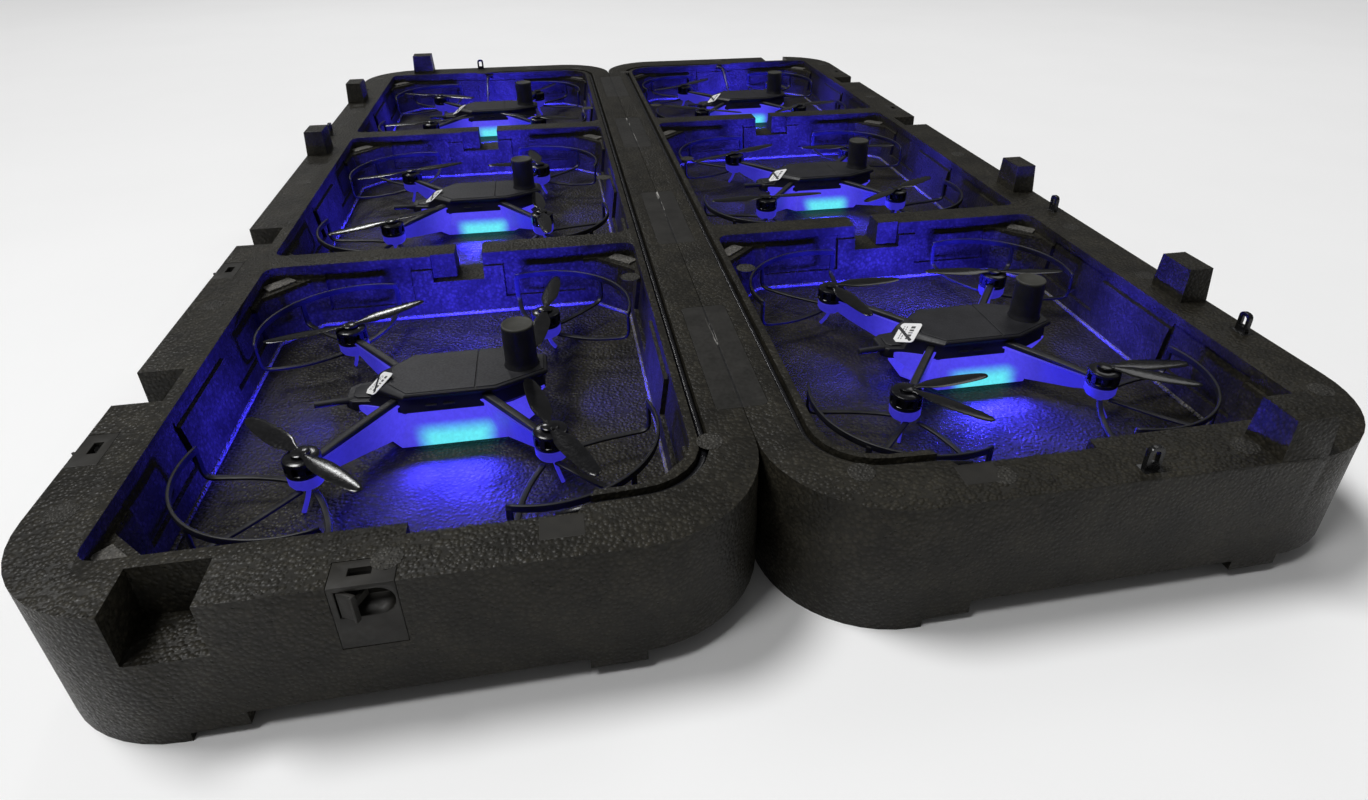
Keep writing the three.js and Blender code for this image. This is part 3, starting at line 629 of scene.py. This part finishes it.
def shell_mesh():
    """Top shell: two lids with a rounded lip over a recessed belt, a sloped nose and an aerial rod."""
    bm = bmesh.new()
    belt = [
        (64, both_sides([(-48, -12), (-26, -25), (44, -25), (76, -9)])),
        (71, both_sides([(-60, -15), (-28, -30.5), (46, -30.5), (85, -11)])),
        (82.5, both_sides([(-53, -15), (-26, -29.5), (45, -29.5), (84, -10.5)])),
        (84.2, both_sides([(-51, -15.4), (-26, -31.5), (46, -31.5), (86.4, -12)])),
        (86.4, both_sides([(-47, -15.6), (-26, -33), (46.4, -33), (88, -13)])),
        (88.4, both_sides([(-42.5, -15), (-25, -32.6), (46.2, -32.6), (87.4, -12.6)])),
        (89.2, both_sides([(-41, -14), (-24.4, -31.6), (46, -31.6), (86, -12)]))]
    loft(bm, [[mm(x, y, z) for x, y in ring] for z, ring in belt])
    seam = 30
    for outline in (both_sides([(-39.5, -13.4), (-23.6, -30.8), (seam - 0.3, -30.8)]),
                    both_sides([(seam + 0.3, -30.8), (45.8, -30.8), (84.8, -11.6)])):
        loft(bm, [[mm(x, y, z) for x, y in outline] for z in (88.8, 90)])
    nose = both_sides([(-76, -9), (-70, -14), (-50, -17)])
    nose_lid = both_sides([(-70, -6), (-66, -9.5), (-50, -11)])
    for ring, levels in ((nose, ((66.5, 0.97), (69, 1.0), (75.2, 1.0), (76.6, 0.985))),
                         (nose_lid, ((76, 1.0), (77.4, 1.0), (78, 0.98)))):
        loft(bm, [[mm(x * s, y * s, z) for x, y in ring] for z, s in levels])
    rod = smooth_path([mm(-68, -8, 74), mm(-78, -10, 75.5), mm(-98.5, -14, 77)], 3)
    sweep(bm, rod, section(5.6 * MM, 5.6 * MM, 2.7 * MM))
    for x in (-6, 8):
        block(bm, mm(x, -31.2, 77), mm(9, 2.4, 1.2))
        block(bm, mm(x, 31.2, 77), mm(9, 2.4, 1.2))
    return bm


def mast_mesh():
    bm = bmesh.new()
    profile = [(0.01, 84), (14.6, 84), (14.6, 90.5), (13.7, 92.2), (13.5, 96), (13.1, 125.6), (0.01, 125.6)]
    lathe(bm, profile, 48, MAST_X)
    return bm


def mast_cap_mesh():
    bm = bmesh.new()
    profile = [(0.01, 125.7), (13.1, 125.7), (13.25, 126.0), (13.25, 127.2), (12.6, 127.9), (11.6, 128.0),
               (11.2, 127.6), (0.01, 127.6)]
    lathe(bm, profile, 48, MAST_X)
    return bm


def arm_frame(sx, sy):
    root = Vector((sx * 34, sy * 24, 0))
    end = Vector((sx * MOTOR_X, sy * MOTOR_Y, 0))
    return root, end, (end - root).normalized(), (end - root).length


def arm_mesh():
    """Dark top ribs of the four arms, each ending in a collar under its motor."""
    bm = bmesh.new()
    for sx, sy in MOTOR_SIGNS:
        root, end, ahead, length = arm_frame(sx, sy)
        path = [(root + ahead * d + Vector((0, 0, z))) * MM for d, z in (
            (-12, 79), (8, 79.4), (length * 0.5, 78.6), (length - 16, 77.2), (length - 7, 76))]
        sweep(bm, smooth_path(path, 4), section(6.8 * MM, 5.2 * MM, 1.6 * MM))
        collar = [(0.01, 73.6), (12.2, 73.6), (12.8, 74.2), (12.8, 75.4), (0.01, 75.6)]
        lathe(bm, collar, 32, end.x, end.y)
    return bm


def upright_sheet(bm, stations, half):
    """A thin upright sheet through (x, y, low, high) stations."""
    rings = []
    for i, (x, y, low, high) in enumerate(stations):
        before, after = stations[max(i - 1, 0)], stations[min(i + 1, len(stations) - 1)]
        ahead = Vector((after[0] - before[0], after[1] - before[1], 0)).normalized()
        side = Vector((-ahead.y, ahead.x, 0)) * half
        corners = ((1, low), (1, high), (-1, high), (-1, low))
        rings.append([mm(x + side.x * a, y + side.y * a, z) for a, z in corners])
    loft(bm, rings)


def diffuser_mesh():
    """The milky lower shell: a keel, a deep web under each arm, fins to nose and tail, and motor cups.
    Outside the lamp's lens, the light it gives off is painted light.
    """
    bm = bmesh.new()
    keel = [
        (45.6, both_sides([(-52, -13), (-28, -40), (48, -40), (70, -12)])),
        (46.6, both_sides([(-56, -14.6), (-32, -43.6), (51, -43.6), (74, -14)])),
        (48.2, both_sides([(-56.5, -15), (-32, -44), (51, -44), (74.5, -14)])),
        (60, both_sides([(-50, -13), (-28, -36), (46.5, -36), (68, -12)])),
        (71, both_sides([(-45, -11), (-25.5, -29.6), (43.5, -29.6), (63, -10)]))]
    loft(bm, [[mm(x, y, z) for x, y in ring] for z, ring in keel])
    for sx, sy in MOTOR_SIGNS:
        root, end, ahead, length = arm_frame(sx, sy)
        across = Vector((-ahead.y, ahead.x, 0))
        rings = []
        for d, low, half in ((-12, 46.5, 3.2), (6, 47.5, 3.0), (length * 0.4, 54, 2.8),
                             (length * 0.75, 60.5, 2.6), (length - 8, 65, 2.6)):
            place = root + ahead * d
            flange = half + 2.0
            corners = ((half, low), (half, 74.8), (flange, 76), (flange, 77.2), (-flange, 77.2),
                       (-flange, 76), (-half, 74.8), (-half, low))
            rings.append([(place + across * a + Vector((0, 0, z))) * MM for a, z in corners])
        loft(bm, rings)
        cup = [(0.01, 61), (7, 61), (11.2, 64), (12.8, 67), (12.9, 73.4), (0.01, 73.4)]
        lathe(bm, cup, 32, end.x, end.y)
        leg = [mm(end.x + sx * x, end.y + sy * y, z) for x, y, z in ((0, 0, 62), (2, 3, 53), (6, 9, 42.6))]
        across_leg = Vector((sx, -sy, 0)).normalized()
        sweep(bm, smooth_path(leg, 4), section(3.4 * MM, 2.2 * MM, 0.8 * MM), across_leg)
        tip = (-67, -13) if sx < 0 else (84, -11)
        fin = []
        for i in range(9):
            t = i / 8
            x = tip[0] + (sx * 30 - tip[0]) * t
            y = tip[1] + (-27.5 - tip[1]) * t
            fin.append((x, -sy * y, 71 - 19 * math.sin(math.pi / 2 * t) ** 0.8, 73.5))
        upright_sheet(bm, fin, 0.9)
    return bm


def motor_mesh():
    """Four outrunner motors: windings behind a slotted bell, and a domed top."""
    bm = bmesh.new()
    for sx, sy in MOTOR_SIGNS:
        x, y = sx * MOTOR_X, sy * MOTOR_Y
        core = [(0.01, 75), (10.2, 75), (10.2, 86), (0.01, 86)]
        lathe(bm, core, 24, x, y)
        base = [(0.01, 74.6), (12.6, 74.6), (13.2, 75.4), (13.2, 77.2), (12.4, 77.8), (0.01, 77.8)]
        lathe(bm, base, 32, x, y)
        dome = [(0.01, 84.6), (13.3, 84.6), (13.4, 85.6), (12.8, 87), (10.8, 87.9), (6.5, 88.2), (0.01, 88.2)]
        lathe(bm, dome, 32, x, y)
        for i in range(9):
            a = 2 * math.pi * i / 9
            block(bm, mm(x + 12.1 * math.cos(a), y + 12.1 * math.sin(a), 81.2), mm(2.2, 4.6, 7.4), a)
    return bm


GUARD_RADIUS, GUARD_HEIGHT = 83.5, 87
GUARD_REACH = math.radians(64)  # each way from the middle of the part ring
GUARD_BAR = [  # distance from the ring's middle, height
    (8, 63.6), (26, 62.6), (48, 61.6), (68, 61.8), (79.5, 63), (83.2, 68), (GUARD_RADIUS, 78),
    (GUARD_RADIUS, GUARD_HEIGHT)]


def guard_mesh():
    """A part ring outside each motor, on three flat bars that turn up to it from the motor's foot."""
    bm = bmesh.new()
    reach = GUARD_REACH
    for sx, sy in MOTOR_SIGNS:
        x, y = sx * (MOTOR_X - 3), sy * (MOTOR_Y + 5)
        middle = math.atan2(sy, sx)
        arc = [mm(x + GUARD_RADIUS * math.cos(a), y + GUARD_RADIUS * math.sin(a), GUARD_HEIGHT)
               for a in (middle - reach + 2 * reach * i / 36 for i in range(37))]
        sweep(bm, arc, section(2.4 * MM, 5.8 * MM, 0.8 * MM))
        for k in (-1, 0, 1):
            a = middle + k * (reach - 0.02)
            bow = 6 * k
            points = []
            for r, z in GUARD_BAR:
                side = bow * math.sin(math.pi * min(r / 80, 1.0))
                out_x, out_y = math.cos(a), math.sin(a)
                points.append(mm(x + r * out_x - side * out_y, y + r * out_y + side * out_x, z))
            sweep(bm, smooth_path(points, 4), section(4.8 * MM, 2.4 * MM, 0.9 * MM),
                  Vector((math.cos(a) * -0.3, math.sin(a) * -0.3, 1)).normalized())
    return bm


def label_place():
    """The label's frame on the sloped nose: x along the slope, y across, z outwards."""
    up_slope = (mm(-41, 0, 89.6) - mm(-58, 0, 78)).normalized()
    outward = Vector((0, -1, 0)).cross(up_slope).normalized()
    middle = mm(-48.6, -3, 85.0) + outward * 0.4 * MM
    turn = Matrix.Rotation(math.radians(38), 3, outward)
    x = turn @ up_slope
    y = outward.cross(x)
    return Matrix.Translation(middle) @ Matrix((x, y, outward)).transposed().to_4x4()


def on_label(bm):
    bmesh.ops.transform(bm, matrix=label_place(), verts=bm.verts)
    return bm


def label_mesh():
    bm = bmesh.new()
    outline = section(23 * MM, 23 * MM, 3.2 * MM, 5)
    loft(bm, [[Vector((x, y, z)) for x, y in outline] for z in (-0.25 * MM, 0.15 * MM)])
    return on_label(bm)


def ink_mesh():
    """Generic printing: two fine rows and one row of heavier blocks."""
    bm = bmesh.new()
    rows = [(6.2, 0.9, [2.2, 1.4, 2.8, 1.8, 2.2, 1.2]), (3.2, 0.9, [1.6, 2.6, 1.2, 2.2, 1.8, 2.0]),
            (-3.6, 4.6, [2.0, 2.6, 1.2, 2.2, 2.6])]
    for y, height, widths in rows:
        x = -8.0
        for width in widths:
            block(bm, mm(x + width / 2, y, 0.17), mm(width, height, 0.12))
            x += width + (0.8 if height < 2 else 1.3)
    return on_label(bm)


BLADE_STATIONS = [  # distance from the hub's middle, chord, twist in degrees
    (4.5, 6.4, 12), (9, 6.8, 12), (14, 10, 12), (20, 14.2, 11), (28, 16, 10), (38, 15.8, 8), (48, 14.6, 7),
    (58, 12.6, 6), (65, 10.4, 5), (69, 8.4, 5), (71.4, 5.4, 4), (72.2, 2.2, 4)]


HUB_BASE = 88.6
HUB = [(r, HUB_BASE + h) for r, h in ((0.01, 0), (6.4, 0), (6.6, 0.4), (6.6, 1.9), (5.6, 2.4), (0.01, 2.4))]
SCREW = [(r, HUB_BASE + h) for r, h in ((0.01, 2.2), (1.7, 2.2), (1.7, 2.5), (1.3, 2.6), (0.01, 2.55))]
SCREW_DISTANCE = 5.2


def propeller_mesh(directions, hand):
    """A hub with its two clamp screws, and two twisted blades lying where they were left."""
    bm = bmesh.new()
    lathe(bm, HUB, 28)
    for angle in directions:
        turn = math.radians(angle)
        out = Vector((math.cos(turn), math.sin(turn), 0))
        across = Vector((-out.y, out.x, 0))
        rings = []
        for distance, chord, twist in BLADE_STATIONS:
            pitch = math.radians(twist * hand * 0.55)
            ring = []
            for a in around(14):
                along = math.cos(a) * chord / 2
                thick = math.sin(a) * (0.62 if chord > 3 else 0.3)
                camber = 0.35 * (1 - (2 * along / chord) ** 2)
                height = HUB_BASE + 1.25 + camber * 0.6 + math.sin(pitch) * along + thick
                ring.append((out * distance + across * along + Vector((0, 0, height))) * MM)
            rings.append(ring)
        loft(bm, rings)
        pivot = out * SCREW_DISTANCE
        lathe(bm, SCREW, 14, pivot.x, pivot.y)
    return bm


# Where each propeller's two blades point, drone by drone, for the motors in the order of MOTOR_SIGNS.
BLADE_ANGLES = [
    [(-46, 133), (-64, 103), (33, 195), (80, -98)],
    [(35, 205), (95, -85), (20, 200), (100, 175)],
    [(15, 190), (-20, 150), (160, -30), (60, -120)],
    [(5, -50), (-6, -34), (0, -78), (-10, 170)],
    [(0, 182), (215, 30), (25, 205), (175, -5)],
    [(-30, 150), (10, -140), (40, -150), (75, -80)]]


DRONE_MESHES = {  # name: (mesh, material slot, edge radius in millimetres)
    "shell": (mesh_from("drone_shell", shell_mesh(), SHELL), "drone_shell", 0.9),
    "mast": (mesh_from("drone_mast", mast_mesh(), SHELL), "drone_shell", 0.4),
    "mast_cap": (mesh_from("drone_mast_cap", mast_cap_mesh(), CAP_PAINTED_HIGHLIGHT), "drone_shell", 0),
    "arms": (mesh_from("drone_arms", arm_mesh(), SHELL), "drone_shell", 0),
    "lower_shell": (mesh_from("drone_lower_shell", diffuser_mesh(), PAINTED_GLOW), "drone_shell", 0.7),
    "motors": (mesh_from("drone_motors", motor_mesh(), MOTOR), "propeller", 0.35),
    "guards": (mesh_from("drone_guards", guard_mesh(), GUARD), "drone_shell", 0),
    "label": (mesh_from("drone_label", label_mesh(), LABEL, False), "drone_shell", 0),
    "label_print": (mesh_from("drone_label_print", ink_mesh(), INK, False), "drone_shell", 0)}
LAMP_BLUE = (0.03, 0.024, 1.0)
# The blue light that leaves the lower shell: place and direction about the drone's middle, width, power.
LAMPS = {
    "front": ((8, -47, 60), (0, -1, 0.18), 56, 6.5),
    "back": ((8, 47, 60), (0, 1, 0.30), 56, 6.0),
    "nose": ((-60, 0, 64), (-1, 0, 0.60), 26, 3.2),
    "tail": ((80, 0, 64), (1, 0, 0.60), 26, 1.8)}


def lamp(name, at, towards, width, power, body):
    data = bpy.data.lights.new(name, "AREA")
    data.shape = "RECTANGLE"
    data.size = width * MM
    data.size_y = 12 * MM
    data.spread = math.radians(130)
    data.energy = power
    data.color = LAMP_BLUE
    light = bpy.data.objects.new(name, data)
    bpy.context.scene.collection.objects.link(light)
    light.location = at
    light.rotation_euler = Vector(towards).to_track_quat("-Z", "Y").to_euler()
    light.visible_camera = False
    light.visible_glossy = False
    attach(light, body)


def drone(number):
    body = "left_half" if number <= 3 else "right_half"
    low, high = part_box(f"drone_{number}_airframe")
    centre = Vector(((low.x + high.x) / 2, (low.y + high.y) / 2, 0))
    for part, (mesh, slot, radius) in DRONE_MESHES.items():
        piece = place_mesh(f"drone_{number}_{part}", mesh, body, centre)
        if radius:
            bevel(piece, radius * MM, 2)
        if part == "shell":
            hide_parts(f"drone_{number}_airframe")
    for i, (sx, sy) in enumerate(MOTOR_SIGNS):
        node = f"drone_{number}_propeller_{i + 1}"
        hand = -sx * sy
        blades = mesh_from(node, propeller_mesh(BLADE_ANGLES[number - 1][i], hand), PROPELLER)
        at = centre + mm(sx * MOTOR_X, sy * MOTOR_Y, 0)
        piece = place_mesh(f"{node}_blades", blades, node, at)
        bevel(piece, 0.25 * MM, 2, 50)
        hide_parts(node)
    for place, (at, towards, width, power) in LAMPS.items():
        lamp(f"drone_{number}_lamp_{place}", centre + mm(*at), towards, width, power, body)


for number in range(1, 7):
    drone(number)

# ---- Studio ----------------------------------------------------------------------------------------


STUDIO_LAMPS = [  # name, place, size, power
    ("key_light", (-1.0, -1.2, 2.2), 0.5, 18), ("fill_light", (1.8, 1.2, 2.6), 1.2, 10),
    ("back_light", (-0.9, 2.6, 1.9), 0.3, 7)]
SUN_FROM = (-0.45, 0.25, 1.0)
SUN_ENERGY = 2.1
WORLD_STRENGTH = 0.12


def facing_from(place):
    """The turn that points a lamp from its place towards the case."""
    return (-Vector(place)).to_track_quat("-Z", "Y").to_euler()


def studio():
    bm = bmesh.new()
    bmesh.ops.create_grid(bm, x_segments=1, y_segments=1, size=20)
    floor = bpy.data.objects.new("floor", bpy.data.meshes.new("floor"))
    bm.to_mesh(floor.data)
    bm.free()
    floor.data.materials.append(floor_material())
    bpy.context.scene.collection.objects.link(floor)
    world = bpy.data.worlds.new("studio")
    bpy.context.scene.world = world
    world.use_nodes = True
    world.node_tree.nodes["Background"].inputs["Color"].default_value = (1, 1, 1, 1)
    world.node_tree.nodes["Background"].inputs["Strength"].default_value = WORLD_STRENGTH
    sun = bpy.data.objects.new("window_light", bpy.data.lights.new("window_light", "SUN"))
    sun.data.energy = SUN_ENERGY
    sun.data.angle = math.radians(18)
    sun.rotation_euler = facing_from(SUN_FROM)
    bpy.context.scene.collection.objects.link(sun)
    for name, at, size, energy in STUDIO_LAMPS:
        data = bpy.data.lights.new(name, "AREA")
        data.size = size
        data.energy = energy
        light = bpy.data.objects.new(name, data)
        bpy.context.scene.collection.objects.link(light)
        light.location = at
        light.rotation_euler = facing_from(at)
    bpy.context.scene.view_settings.view_transform = "Standard"


def camera():
    data = bpy.data.cameras.new("camera")
    data.lens = 21.68
    data.sensor_width = 36
    data.shift_x = -0.0173
    data.shift_y = -0.0418
    eye = bpy.data.objects.new("camera", data)
    bpy.context.scene.collection.objects.link(eye)
    eye.location = (-0.1196, -1.0736, 0.4490)
    yaw, pitch = math.radians(10.7), math.radians(29.67)
    eye.rotation_euler = (math.pi / 2 - pitch, 0, -yaw)
    bpy.context.scene.camera = eye


studio()
camera()
